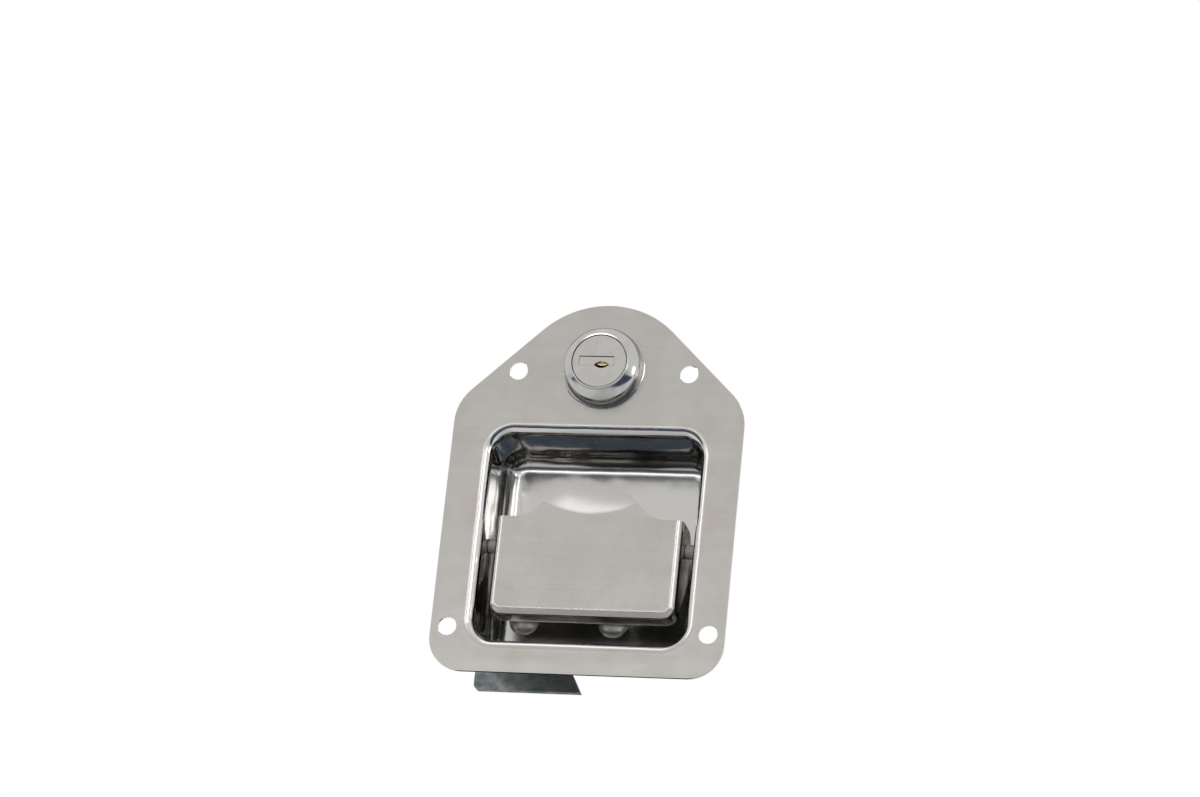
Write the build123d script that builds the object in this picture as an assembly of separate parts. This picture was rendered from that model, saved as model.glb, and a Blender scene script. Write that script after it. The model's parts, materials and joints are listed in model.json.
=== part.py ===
"""Recessed paddle latch with a key lock, of the kind set into a tool box lid or door.

A stamped stainless plate carries a drawn pan. A paddle rocks on a pin across the pan. Its push arm goes through
the pan's floor and lifts the tail of a hook-shaped catch, which then lets go of a striker post. A finger on the
catch passes just under the lock's cam, so the cam stops the catch once the key has turned it down.

Frame: X to the right and Z up as seen from the front, Y from the front to the back. The origin is the centre of
the pan's opening, on the mounting plane, which is the back face of the plate's rim. Lengths are millimetres.
"""

from build123d import *
from math import cos, hypot, pi, radians, sin, sqrt, tan
import os

# ---- plate and pan -------------------------------------------------------------------------------------------
sheet = 1.2                  # stainless sheet of plate and paddle
plate_width = 111.0
plate_height = 145.0
plate_foot = 53.3            # from the bottom edge up to the pan's centre
plate_foot_radius = 13.0
crown_radius = 35.8          # arc over the lock
shoulder_drop = 39.9         # from the crown's top down to the shoulders
shoulder_radius = 18.0

pan_width = 80.4             # opening, inside the walls at the front face
pan_height = 81.0
pan_corner = 8.5
pan_depth = 28.0             # front face to pan floor
pan_draft = 2.0              # degrees
pan_floor_radius = 6.0
pan_lip_radius = 4.0

mount_hole_radius = 3.55
upper_hole_half_spacing = 32.75
upper_hole_height = 64.85
lower_hole_half_spacing = 49.2
lower_hole_height = -36.3

# ---- clearances ----------------------------------------------------------------------------------------------
pin_clearance = 0.05         # radial, round parts that turn on each other
seat_clearance = 0.05        # radial, round parts that are fixed in each other
face_gap = 0.3               # between faces that slide past each other

# ---- paddle --------------------------------------------------------------------------------------------------
paddle_side_gap = 4.7        # to the pan at the front face
paddle_top = 8.0             # shoulder line
paddle_bottom = -30.2
paddle_recess = 2.0          # plate face to paddle face
paddle_edge_radius = 3.0
paddle_corner = 5.0
ear_depth = 19.0
lip_depth = 9.0              # bottom flange
ear_corner = 8.0
tab_top = 21.2
tab_top_half = 11.0
tab_foot_half = 24.0
tab_top_radius = 9.0
tab_foot_radius = 10.0
scoop_sphere = 95.0          # radius of the finger scoop
scoop_contour = 39.0         # radius of the scoop's edge in the paddle's face
scoop_low = 9.6              # height of the scoop's lowest edge point

pin_radius = 2.0
pin_height = -1.0
pin_set_back = 10.0          # behind the paddle's face
pin_head_radius = 3.6
pin_head = 1.5
pin_tail = 3.0               # beyond the pan's wall, with the clip's groove
clip_thickness = 0.8
clip_radius = 4.2
groove_radius = 1.5
bush_radius = 2.7

arm_width = 8.0
arm_thickness = 3.0
arm_below_pin = 12.5         # pin axis to the arm's upper face
arm_reach = 27.0             # behind the pin axis
arm_foot = 10.0              # weld foot, down the paddle's back

paddle_travel = 27.0         # degrees

# ---- rivets, strap and catch ---------------------------------------------------------------------------------
rivet_left = -27.3
rivet_right = 6.9
rivet_height = -24.5
rivet_radius = 3.2
rivet_head_radius = 5.85
rivet_head = 3.0
rivet_tail_radius = 4.6
rivet_tail = 1.8
spacer_radius = 5.0
strap_thickness = 1.5
strap_half_height = 6.5
strap_overhang = 7.5         # beyond the left rivet
anchor_drop = 8.0            # spring ear, below the strap's centre line

catch_thickness = 3.0
catch_hub = 10.0
catch_tail_edge = 11.6       # pivot up to the tail's lower edge
catch_tail_height = 6.5
catch_tail_reach = 46.0      # pivot to the tail's end
catch_heel = 24.0            # pivot to the end of the catch's bottom edge
catch_root = 13.0            # pivot to the inner corner under the tail
finger_foot = 31.0           # pivot to the finger's left edge, at the tail
finger_lean = 4.0            # the finger's left edge at its top, left of its foot
finger_width = 9.0
cam_play = 0.8               # finger to the cam's tip
post_radius = 4.0            # striker post that the hook holds
post_left = 16.2             # pivot to post, sideways
post_drop = 9.5             # pivot to post, down
post_play = 0.5
hook_overlap = 1.0           # hook's tip, past the post's centre
hook_depth = 13.0           # from under the post to the catch's bottom edge
spring_hole_radius = 1.3

# ---- lock ----------------------------------------------------------------------------------------------------
lock_height = 66.2
bezel_radius = 15.0
bezel_height = 9.0
bezel_skirt = 1.6            # straight part of the dome's side
bezel_rim_radius = 11.4
plug_face_radius = 10.4
plug_head = 4.5
plug_face_recess = 0.2
plug_gap = 0.2               # round the plug's face
core_radius = 6.5
barrel_radius = 9.4
barrel_flat = 8.2            # axis to each flat
washer_thickness = 1.0
washer_radius = 13.0
nut_across_flats = 24.0
nut_thickness = 4.5
cam_thickness = 2.0
cam_length = 32.0
cam_hub = 8.5
cam_width = 9.5
tenon = 7.0
cam_washer_thickness = 0.7
cam_washer_radius = 4.6
cam_screw_radius = 2.0
cam_screw_head_radius = 3.7
cam_screw_head = 2.4
cam_screw_length = 11.0
keyway_width = 9.0
keyway_height = 2.4
keyway_length = 24.0
wafer_count = 5
wafer_thickness = 1.2
wafer_pitch = 3.4
wafer_first = 3.0            # behind the mounting plane
wafer_width = 8.0
shutter_left = -7.6
shutter_right = 5.6
shutter_top = 1.8
shutter_bottom = -1.8
shutter_thickness = 0.7
shutter_gap = 0.12
shutter_travel = 70.0        # degrees
lens_centre = (1.0, -1.5)
lens_width = 5.8
lens_height = 2.7

# ---- springs -------------------------------------------------------------------------------------------------
paddle_wire = 0.6            # radius
paddle_coil = 3.8
paddle_turns = 5
paddle_spring_side = 12.0    # where the coil starts, right of the middle
catch_wire = 0.45
catch_coil = 2.4
catch_turns = 9

# ---- worked out from the sizes above ---------------------------------------------------------------------------
front = -sheet
floor_front = front + pan_depth
floor_back = floor_front + sheet
plate_low = -plate_foot
plate_high = plate_height - plate_foot
paddle_width = pan_width - 2 * paddle_side_gap
paddle_face = front + paddle_recess
pin_depth = paddle_face + pin_set_back
catch_front = floor_back + face_gap
catch_back = catch_front + catch_thickness
strap_front = catch_back + face_gap
strap_back = strap_front + strap_thickness
arm_top = pin_height - arm_below_pin
bezel_front = front - bezel_height
plug_face = bezel_front + plug_face_recess
plug_head_back = plug_face + plug_head
barrel_length = floor_back
cam_front = catch_front
cam_back = cam_front + cam_thickness
post_x = rivet_left - post_left
post_z = rivet_height - post_drop


def at_depth(y):
    """A plane seen from the front: its own x and y run along X and Z, and it lies at depth y."""
    return Plane.XZ.offset(-y)


def plate(sketch, near, far):
    """A flat piece with this front-view outline, between two depths."""
    return extrude(at_depth(far) * sketch, amount=far - near)


def from_side(sketch, half_width):
    """A piece with this side-view outline, drawn as (Y, Z), centred on X = 0."""
    return extrude(Plane.YZ * sketch, amount=half_width, both=True)


def disc(radius, x, z, near, far):
    """A round piece along Y."""
    return plate(Pos(x, z) * Circle(radius), near, far)


def rod(radius, x0, x1, y, z):
    """A round piece along X."""
    return extrude(Plane.YZ.offset(x0) * Pos(y, z) * Circle(radius), amount=x1 - x0)


def polygon(*points):
    """A filled outline with straight sides."""
    return make_face(Polyline(*points, close=True))


def corners(face, points, radius):
    """Rounds the outline's corners that lie at these points."""
    near = [v for v in face.vertices() if any(hypot(v.X - x, v.Y - z) < 0.01 for x, z in points)]
    return fillet(near, radius)


# ---- plate with pan ------------------------------------------------------------------------------------------
def plate_outline():
    """Rectangle below, with slanted sides that run tangent into a round crown over the lock."""
    half = plate_width / 2
    shoulder = plate_high - shoulder_drop
    centre = plate_high - crown_radius
    reach = hypot(half, shoulder - centre)
    along = crown_radius**2 / reach**2
    across = crown_radius * sqrt(reach**2 - crown_radius**2) / reach**2
    rise = shoulder - centre
    touch = (half * along - rise * across, centre + rise * along + half * across)
    outline = make_face(
        [
            *Polyline(
                (-touch[0], touch[1]),
                (-half, shoulder),
                (-half, plate_low),
                (half, plate_low),
                (half, shoulder),
                touch,
            ).edges(),
            ThreePointArc(touch, (0, plate_high), (-touch[0], touch[1])),
        ]
    )
    outline = corners(outline, [(-half, plate_low), (half, plate_low)], plate_foot_radius)
    return corners(outline, [(-half, shoulder), (half, shoulder)], shoulder_radius)


def drafted_cup(offset, depth, floor_radius):
    """The pan's form, grown sideways by offset, from the front face to depth, with a rounded floor edge."""
    mouth = RectangleRounded(pan_width + 2 * offset, pan_height + 2 * offset, pan_corner + offset)
    backwards = Plane(origin=(0, front, 0), x_dir=(-1, 0, 0), z_dir=(0, 1, 0))
    cup = extrude(backwards * mouth, amount=depth, taper=pan_draft)
    return fillet(cup.faces().sort_by(Axis.Y)[-1].edges(), floor_radius)


def arm_slot():
    """Hole in the pan's floor that the push arm sweeps through."""
    turn = radians(paddle_travel)
    behind = floor_back - pin_depth
    swept = (behind - arm_below_pin * sin(turn)) / cos(turn)
    high = pin_height - arm_below_pin * cos(turn) + swept * sin(turn) + 1.0
    low = arm_top - arm_thickness - 1.0
    return Pos(0, (high + low) / 2) * RectangleRounded(arm_width + 3.0, high - low, 1.5)


def barrel_hole(clearance):
    """Round hole with two flats that keeps the lock from turning."""
    return Circle(barrel_radius + clearance) & Rectangle(2 * (barrel_flat + clearance), 2 * barrel_radius + 2)


def pan_plate():
    """Rim, drawn pan, holes for fasteners, lock, hinge pin, rivets and push arm."""
    rim = plate(plate_outline(), front, 0)
    body = rim + drafted_cup(sheet, pan_depth + sheet, pan_floor_radius + sheet)
    body -= drafted_cup(0, pan_depth, pan_floor_radius)
    mouth = [e for e in body.edges() if abs(e.center().Y - front) < 0.01 and e.bounding_box().size.Y < 0.01]
    inner = [e for e in mouth if abs(e.center().X) < pan_width / 2 + 0.1 and abs(e.center().Z) < pan_height / 2 + 0.1]
    body = fillet(inner, pan_lip_radius)
    reach = sheet + 0.1
    back = [e for e in body.edges() if abs(e.center().Y) < 0.01 and e.bounding_box().size.Y < 0.01]
    root = [
        e
        for e in back
        if abs(e.center().X) < pan_width / 2 + reach and abs(e.center().Z) < pan_height / 2 + reach
    ]
    body = fillet(root, pan_lip_radius - sheet)
    for side in (-1, 1):
        for x, z in (
            (upper_hole_half_spacing, upper_hole_height),
            (lower_hole_half_spacing, lower_hole_height),
        ):
            body -= disc(mount_hole_radius, side * x, z, front - 1, 1)
    body -= plate(Pos(0, lock_height) * barrel_hole(seat_clearance), front - 1, 1)
    body -= rod(pin_radius + seat_clearance, -plate_width / 2, plate_width / 2, pin_depth, pin_height)
    for x in (rivet_left, rivet_right):
        body -= disc(rivet_radius + seat_clearance, x, rivet_height, floor_front - 1, floor_back + 1)
    return body - plate(arm_slot(), floor_front - 1, floor_back + 1)


# ---- hinge -----------------------------------------------------------------------------------------------------
def wall_at(y, offset):
    """Half width of the pan at depth y: inside face with offset 0, outside face with offset sheet."""
    return pan_width / 2 + offset - (y - front) * tan(radians(pan_draft))


head_seat = wall_at(pin_depth - pin_head_radius, sheet) + 0.15


def hinge_pin():
    """Headed pin across the pan, grooved for a clip at its far end."""
    pin = rod(pin_radius, -head_seat, head_seat + pin_tail, pin_depth, pin_height)
    head = rod(pin_head_radius, -head_seat - pin_head, -head_seat, pin_depth, pin_height)
    head = fillet(head.faces().sort_by(Axis.X)[0].edges(), 0.6)
    groove = rod(pin_radius + 1, head_seat, head_seat + clip_thickness, pin_depth, pin_height)
    groove -= rod(groove_radius, head_seat, head_seat + clip_thickness, pin_depth, pin_height)
    return chamfer((pin + head - groove).edges().sort_by(Axis.X)[-1:], 0.4)


def pin_clip():
    """Retaining clip in the pin's groove, open at one side."""
    ring = Circle(clip_radius) - Circle(groove_radius + 0.02)
    ring -= Pos(0, -clip_radius / 2) * Rectangle(2 * groove_radius - 0.3, clip_radius)
    for side in (-1, 1):
        ring -= Pos(side * clip_radius * 0.75, clip_radius * 0.35) * Circle(0.7)
    place = Plane.YZ.offset(head_seat) * Pos(pin_depth, pin_height)
    return extrude(place * ring, amount=clip_thickness)


def hinge_bushes():
    """Two bushes that keep the paddle central between the pan's walls."""
    inner = paddle_width / 2 + 0.15
    outer = wall_at(pin_depth + bush_radius, 0) - 0.1
    bushes = []
    for x0, x1 in ((-outer, -inner), (inner, outer)):
        bush = rod(bush_radius, x0, x1, pin_depth, pin_height)
        bushes.append(bush - rod(pin_radius + pin_clearance, x0 - 1, x1 + 1, pin_depth, pin_height))
    return Compound(children=bushes)


def tray(width, low, high, near, far, corner, edge):
    """A block whose lower corners and front edges are rounded, as the paddle is pressed."""
    block = extrude(
        at_depth(far) * Pos(0, (low + high) / 2) * Rectangle(width, high - low), amount=far - near
    )
    upright = [e for e in block.edges().filter_by(Axis.Y) if e.center().Z < low + 0.01]
    block = fillet(upright, corner)
    rims = [
        e
        for e in block.faces().sort_by(Axis.Y)[0].edges()
        if e.center().Z < high - 0.01
    ]
    return fillet(rims, edge)


def tab_outline():
    """Finger tab on the paddle's top edge, with soft corners and feet."""
    low = paddle_bottom + 2 * paddle_corner
    half = paddle_width / 2 - paddle_edge_radius
    points = [
        (-half, low),
        (half, low),
        (half, paddle_top),
        (tab_foot_half, paddle_top),
        (tab_top_half, tab_top),
        (-tab_top_half, tab_top),
        (-tab_foot_half, paddle_top),
        (-half, paddle_top),
    ]
    face = polygon(*points)
    face = corners(face, [(-tab_top_half, tab_top), (tab_top_half, tab_top)], tab_top_radius)
    return corners(face, [(-tab_foot_half, paddle_top), (tab_foot_half, paddle_top)], tab_foot_radius)


def paddle():
    """Pressed paddle: flat face, two ears, a bottom lip and a scooped finger tab."""
    back = paddle_face + ear_depth
    shell = tray(paddle_width, paddle_bottom, paddle_top, paddle_face, back, paddle_corner, paddle_edge_radius)
    shell -= tray(
        paddle_width - 2 * sheet,
        paddle_bottom + sheet,
        paddle_top + 5,
        paddle_face + sheet,
        back + 5,
        paddle_corner - sheet,
        paddle_edge_radius - sheet,
    )
    lip = paddle_face + lip_depth
    side = polygon(
        (front - 5, paddle_top),
        (back, paddle_top),
        (back, pin_height - 9),
        (lip, paddle_bottom + 7),
        (lip, paddle_bottom - 5),
        (front - 5, paddle_bottom - 5),
    )
    side = corners(side, [(back, paddle_top)], ear_corner)
    side = corners(side, [(back, pin_height - 9), (lip, paddle_bottom + 7)], 5)
    shell &= from_side(side, paddle_width)
    ball_depth = paddle_face - sqrt(scoop_sphere**2 - scoop_contour**2)
    ball = Pos(0, ball_depth, scoop_low + scoop_contour)
    outline = tab_outline()
    tab = plate(outline, paddle_face, paddle_face + sheet)
    tab += plate(outline, paddle_face, paddle_face + 9) & (ball * Sphere(scoop_sphere + sheet))
    body = shell + tab - ball * Sphere(scoop_sphere)
    return body - rod(pin_radius + pin_clearance, -paddle_width, paddle_width, pin_depth, pin_height)


def push_arm():
    """Arm welded to the paddle's back, which goes through the pan's floor."""
    weld = paddle_face + sheet
    low = arm_top - arm_thickness
    side = polygon(
        (weld, arm_top),
        (weld, low - arm_foot),
        (weld + 2.5, low - arm_foot),
        (weld + 2.5, low),
        (pin_depth + arm_reach, low),
        (pin_depth + arm_reach, arm_top),
    )
    side = corners(side, [(weld + 2.5, low)], 3)
    side = corners(side, [(pin_depth + arm_reach, low)], 2.2)
    side = corners(side, [(pin_depth + arm_reach, arm_top)], 0.7)
    return from_side(side, arm_width / 2)


def coil_points(radius, length, turns, sides=12):
    """Corners of a coil along Z from the origin, which starts and ends at its +Y side."""
    steps = turns * sides
    turn = 2 * pi / sides
    return [(-radius * sin(k * turn), radius * cos(k * turn), length * k / steps) for k in range(steps + 1)]


def bent_wire(wire, points):
    """A six-sided wire that runs straight from corner to corner."""
    path = Polyline(*points)
    section = Plane(origin=path @ 0, z_dir=path % 0) * RegularPolygon(wire, 6)
    return sweep(section, path=path, transition=Transition.RIGHT)


def paddle_spring():
    """Torsion spring round the hinge pin: one leg on the paddle's back, one on the pan's floor."""
    length = (2 * paddle_wire + 0.25) * paddle_turns
    place = Plane(origin=(paddle_spring_side, pin_depth, pin_height), x_dir=(0, 1, 0), z_dir=(1, 0, 0))
    ahead = pin_depth - paddle_face - sheet - paddle_wire - 0.1
    behind = floor_front - pin_depth - paddle_wire - 0.1
    coil = coil_points(paddle_coil, length, paddle_turns)
    return place * bent_wire(
        paddle_wire, [(-ahead, paddle_coil, 0), *coil[1:-1], (behind, paddle_coil, length)]
    )


# ---- rivets, strap and catch -----------------------------------------------------------------------------------
def domed(radius, height, x, z, base, towards):
    """A rivet's round head on a base plane, swelling towards -1 (front) or 1 (back)."""
    ball = (radius**2 + height**2) / (2 * height)
    centre = base + towards * (height - ball)
    near, far = sorted((base, base + towards * height))
    return disc(radius + 1, x, z, near, far) & (Pos(x, centre, z) * Sphere(ball))


def rivet(x):
    """Rivet through pan floor and strap, with a broad head inside the pan."""
    shank = disc(rivet_radius, x, rivet_height, floor_front, strap_back)
    head = domed(rivet_head_radius, rivet_head, x, rivet_height, floor_front, -1)
    return shank + head + domed(rivet_tail_radius, rivet_tail, x, rivet_height, strap_back, 1)


def keeper_spacer():
    """Tube on the right rivet that holds the strap off the pan's floor."""
    tube = disc(spacer_radius, rivet_right, rivet_height, floor_back, strap_front)
    return tube - disc(rivet_radius + seat_clearance, rivet_right, rivet_height, floor_back - 1, strap_front + 1)


spring_x = rivet_left + catch_tail_reach - 2.6
anchor_z = rivet_height - anchor_drop


def keeper_strap():
    """Strap behind the catch, held by both rivets, with an ear for the catch's spring."""
    left = rivet_left - strap_overhang
    right = spring_x + 3
    bar = Pos((left + right) / 2, rivet_height) * RectangleRounded(right - left, 2 * strap_half_height, 4)
    ear = Pos(spring_x, anchor_z + 1) * RectangleRounded(6, 8, 2.5)
    shape = bar + ear - Pos(spring_x, anchor_z) * Circle(spring_hole_radius)
    for x in (rivet_left, rivet_right):
        shape -= Pos(x, rivet_height) * Circle(rivet_radius + seat_clearance)
    return plate(shape, strap_front, strap_back)


def catch_outline():
    """Hook with a deep foot, a hub on the left rivet, a tail over the push arm and a finger to the cam."""
    hub_x, hub_z = rivet_left, rivet_height
    edge = hub_z + catch_tail_edge
    end = hub_x + catch_tail_reach
    finger_top = lock_height - cam_length
    tip_x = post_x - hook_overlap
    tip_top = post_z - post_radius - post_play
    throat = post_x + post_radius + post_play
    low = tip_top - hook_depth
    body = polygon(
        (end, edge),
        (end, edge + catch_tail_height),
        (hub_x + finger_foot + finger_width, edge + catch_tail_height),
        (hub_x + finger_foot + finger_width - finger_lean, finger_top),
        (hub_x + finger_foot - finger_lean, finger_top),
        (hub_x + finger_foot, edge + catch_tail_height),
        (hub_x, edge + catch_tail_height),
        (hub_x - catch_hub + 2, hub_z + 6),
        (hub_x - catch_hub, hub_z),
        (throat, hub_z - catch_hub),
        (throat, tip_top),
        (tip_x, tip_top),
        (tip_x, low),
        (hub_x + catch_heel, low),
        (hub_x + catch_heel - 8, hub_z - catch_hub - 2),
        (hub_x + catch_root, edge),
    )
    body = corners(body, [(tip_x, tip_top), (end, edge), (end, edge + catch_tail_height)], 1.5)
    body = corners(body, [(throat, tip_top), (tip_x, low)], 2)
    body = corners(body, [(hub_x, edge + catch_tail_height), (hub_x - catch_hub + 2, hub_z + 6)], 6)
    upper = edge + catch_tail_height
    body = corners(body, [(hub_x + finger_foot, upper), (hub_x + finger_foot + finger_width, upper)], 3)
    cam_path = Pos(0, lock_height) * Circle(hypot(cam_length, cam_width / 2) + cam_play)
    body = corners(body, [(hub_x + catch_root, edge), (hub_x + catch_heel - 8, hub_z - catch_hub - 2)], 4)
    return body + Pos(hub_x, hub_z) * Circle(catch_hub) - cam_path


def catch_plate():
    """Catch cut from thick steel, turning on the left rivet."""
    shape = catch_outline()
    shape -= Pos(rivet_left, rivet_height) * Circle(rivet_radius + pin_clearance)
    shape -= Pos(spring_x, rivet_height + catch_tail_edge + catch_tail_height / 2) * Circle(spring_hole_radius)
    return plate(shape, catch_front, catch_back)


def catch_spring():
    """Extension spring from the strap's ear up to the catch's tail, with a hook at each end."""
    low = anchor_z
    high = rivet_height + catch_tail_edge + catch_tail_height / 2
    lead = 4.0
    depth = strap_back + catch_coil + catch_wire + 0.2
    bend = depth - catch_coil
    coil = [
        (spring_x + x, depth - y, low + lead + z)
        for x, y, z in coil_points(catch_coil, high - low - 2 * lead, catch_turns)
    ]
    lower = [(spring_x, strap_front - face_gap / 2, low), (spring_x, bend, low)]
    upper = [(spring_x, bend, high), (spring_x, catch_front - face_gap / 2, high)]
    return bent_wire(catch_wire, lower + coil + upper)


# ---- lock --------------------------------------------------------------------------------------------------------
lock_axis = Axis((0, 0, lock_height), (0, 1, 0))


def turned(*points):
    """A solid turned about the lock's axis, from (radius, depth) points."""
    section = Plane(origin=(0, 0, lock_height), x_dir=(1, 0, 0), z_dir=(0, 0, 1)) * polygon(*points)
    return revolve(section, axis=lock_axis)


def lock_disc(radius, near, far):
    """A round piece on the lock's axis."""
    return disc(radius, 0, lock_height, near, far)


def bezel():
    """Domed head of the lock: a short straight skirt, then one arc up to the rim round the plug."""
    base = (bezel_radius, front)
    skirt = (bezel_radius, front - bezel_skirt)
    rim = (bezel_rim_radius, bezel_front + 0.3)
    rise = skirt[1] - rim[1]
    inset = skirt[0] - rim[0]
    arc = (inset**2 + rise**2) / (2 * inset)
    reach = hypot(inset, rise)
    half_turn = reach / (2 * arc)
    middle = (skirt[0] - arc + arc * cos(half_turn), skirt[1] - arc * sin(half_turn))
    section = make_face(
        [
            *Polyline((0, front), base, skirt).edges(),
            ThreePointArc(skirt, middle, rim),
            *Polyline(rim, (bezel_rim_radius - 0.3, bezel_front), (0, bezel_front), (0, front)).edges(),
        ]
    )
    place = Plane(origin=(0, 0, lock_height), x_dir=(1, 0, 0), z_dir=(0, 0, 1))
    return revolve(place * section, axis=lock_axis)


def lock_housing():
    """Dome and barrel, bored for the plug."""
    barrel = plate(Pos(0, lock_height) * barrel_hole(0), front, barrel_length)
    body = bezel() + barrel
    body -= lock_disc(plug_face_radius + plug_gap, bezel_front - 1, plug_head_back + plug_gap)
    return body - lock_disc(core_radius + pin_clearance, bezel_front, barrel_length + 1)


def lock_washer():
    """Toothed washer under the nut."""
    ring = Circle(washer_radius) - Circle(barrel_radius + 0.1)
    notch = Pos(washer_radius, 0) * Rectangle(2.4, 1.6)
    for k in range(12):
        ring -= Rot(0, 0, 30 * k + 15) * notch
    return plate(Pos(0, lock_height) * ring, 0, washer_thickness)


def lock_nut():
    """Hexagon nut on the barrel, with its outer corners chamfered."""
    near = washer_thickness
    far = near + nut_thickness
    corner = nut_across_flats / 2 / cos(radians(30))
    body = plate(Pos(0, lock_height) * RegularPolygon(corner, 6), near, far)
    body &= turned(
        (0, near), (corner - 0.9, near), (corner + 0.1, near + 0.8),
        (corner + 0.1, far - 0.8), (corner - 0.9, far), (0, far),
    )
    return body - lock_disc(barrel_radius + 0.08, near - 1, far + 1)


def lens(grow):
    """Pointed oval of the key opening."""
    half_w = lens_width / 2 + grow
    half_h = lens_height / 2 + grow
    radius = (half_w**2 + half_h**2) / (2 * half_h)
    shape = (Pos(0, half_h - radius) * Circle(radius)) & (Pos(0, radius - half_h) * Circle(radius))
    return Pos(lens_centre[0], lock_height + lens_centre[1]) * shape


def shutter_window(grow):
    """Rectangle of the shutter in the plug's face."""
    width = shutter_right - shutter_left + 2 * grow
    height = shutter_top - shutter_bottom + 2 * grow
    middle = ((shutter_left + shutter_right) / 2, lock_height + (shutter_top + shutter_bottom) / 2)
    return Pos(*middle) * Rectangle(width, height)


def wafer_depths():
    """Where each wafer's slot starts, behind the mounting plane."""
    return [wafer_first + k * wafer_pitch for k in range(wafer_count)]


def lock_plug():
    """Turning core: broad face, keyway, wafer slots and a square tenon for the cam."""
    body = lock_disc(plug_face_radius, plug_face, plug_head_back)
    body = chamfer(body.faces().sort_by(Axis.Y)[0].edges(), 0.25)
    body += lock_disc(core_radius, plug_head_back, barrel_length)
    body += plate(Pos(0, lock_height) * Rectangle(tenon, tenon), barrel_length, cam_back)
    body -= plate(shutter_window(shutter_gap), plug_face - 1, plug_head_back - 0.5)
    body -= plate(lens(0), plug_face - 1, plug_face + 3)
    keyway = Pos(0, lock_height - 0.3) * Rectangle(keyway_width, keyway_height)
    body -= plate(keyway, plug_face - 1, plug_head_back + keyway_length)
    for y in wafer_depths():
        slot = Pos(0, lock_height) * Rectangle(wafer_width + 0.3, 4 * core_radius)
        body -= plate(slot, y, y + wafer_thickness + 0.2)
    screw_end = cam_back + cam_washer_thickness - cam_screw_length
    return body - lock_disc(cam_screw_radius + seat_clearance, screw_end - 1, cam_back + 1)


def wafers():
    """Flat tumblers in the plug, each with a window that the key passes through."""
    made = []
    for k, y in enumerate(wafer_depths()):
        height = 2 * sqrt((core_radius - 0.1) ** 2 - (wafer_width / 2) ** 2)
        shift = 0.35 * ((k * 2) % 3 - 1)
        blank = Rectangle(wafer_width, height)
        window = Pos(0, shift - 0.3) * Rectangle(keyway_width - 3.0, keyway_height + 1.6)
        made.append(plate(Pos(0, lock_height) * (blank - window), y + 0.1, y + 0.1 + wafer_thickness))
    return Compound(children=made)


shutter_front = plug_face + 0.15
shutter_axis_y = shutter_front + shutter_thickness / 2
shutter_axis_z = lock_height + shutter_top - shutter_thickness / 2


def dust_shutter():
    """Flap behind the key opening, hinged along its upper edge."""
    flap = plate(shutter_window(0), shutter_front, shutter_front + shutter_thickness)
    edge = rod(shutter_thickness / 2, shutter_left, shutter_right, shutter_axis_y, shutter_axis_z)
    flap = flap - plate(
        Pos(0, shutter_axis_z + shutter_thickness) * Rectangle(2 * plug_face_radius, 2 * shutter_thickness),
        shutter_front - 1,
        shutter_front + shutter_thickness + 1,
    )
    return flap + edge - plate(lens(0), shutter_front - 1, shutter_front + 2)


def lock_cam():
    """Cam on the plug's tenon, pointing right until the key turns it down."""
    shape = Circle(cam_hub) + Pos(cam_length / 2, 0) * Rectangle(cam_length, cam_width)
    shape = corners(shape, [(cam_length, -cam_width / 2), (cam_length, cam_width / 2)], 3)
    shape -= Rectangle(tenon + 2 * seat_clearance, tenon + 2 * seat_clearance)
    return plate(Pos(0, lock_height) * shape, cam_front, cam_back)


def cam_washer():
    """Plain washer under the cam's screw."""
    ring = lock_disc(cam_washer_radius, cam_back, cam_back + cam_washer_thickness)
    return ring - lock_disc(cam_screw_radius + 0.1, cam_back - 1, cam_back + 5)


def cam_screw():
    """Pan-head screw with a cross recess, into the plug's end."""
    seat = cam_back + cam_washer_thickness
    head = lock_disc(cam_screw_head_radius, seat, seat + cam_screw_head)
    head = fillet(head.faces().sort_by(Axis.Y)[-1].edges(), 1.0)
    for turn in (0, 90):
        slot = Pos(0, lock_height) * Rot(0, 0, turn) * Rectangle(3.8, 0.8)
        head -= plate(slot, seat + cam_screw_head - 1.3, seat + cam_screw_head + 1)
    return head + lock_disc(cam_screw_radius, seat - cam_screw_length, seat)


PARTS = {
    "pan_plate": pan_plate,
    "hinge_pin": hinge_pin,
    "pin_clip": pin_clip,
    "hinge_bushes": hinge_bushes,
    "paddle": paddle,
    "push_arm": push_arm,
    "paddle_spring": paddle_spring,
    "catch_pivot_rivet": lambda: rivet(rivet_left),
    "keeper_rivet": lambda: rivet(rivet_right),
    "keeper_spacer": keeper_spacer,
    "keeper_strap": keeper_strap,
    "catch_plate": catch_plate,
    "catch_spring": catch_spring,
    "lock_housing": lock_housing,
    "lock_washer": lock_washer,
    "lock_nut": lock_nut,
    "lock_plug": lock_plug,
    "lock_wafers": wafers,
    "dust_shutter": dust_shutter,
    "lock_cam": lock_cam,
    "cam_washer": cam_washer,
    "cam_screw": cam_screw,
}

os.makedirs("parts", exist_ok=True)
for name, make in PARTS.items():
    export_step(make(), f"parts/{name}.step")
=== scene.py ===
"""Dressed model of a recessed paddle latch with a key lock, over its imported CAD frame.

Each sub-assembly of the latch is a class: it takes the frame's solids, makes the finer surfaces that stand for
them, and gives every piece its finish. Lengths are metres. X points right, Z up and Y to the back, and the origin
is the centre of the pan's opening on the mounting plane.
"""

from __future__ import annotations

import json
import logging
import math
from dataclasses import dataclass, field
from enum import Enum

import bmesh
import bpy
import numpy as np
from mathutils import Matrix, Vector

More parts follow.
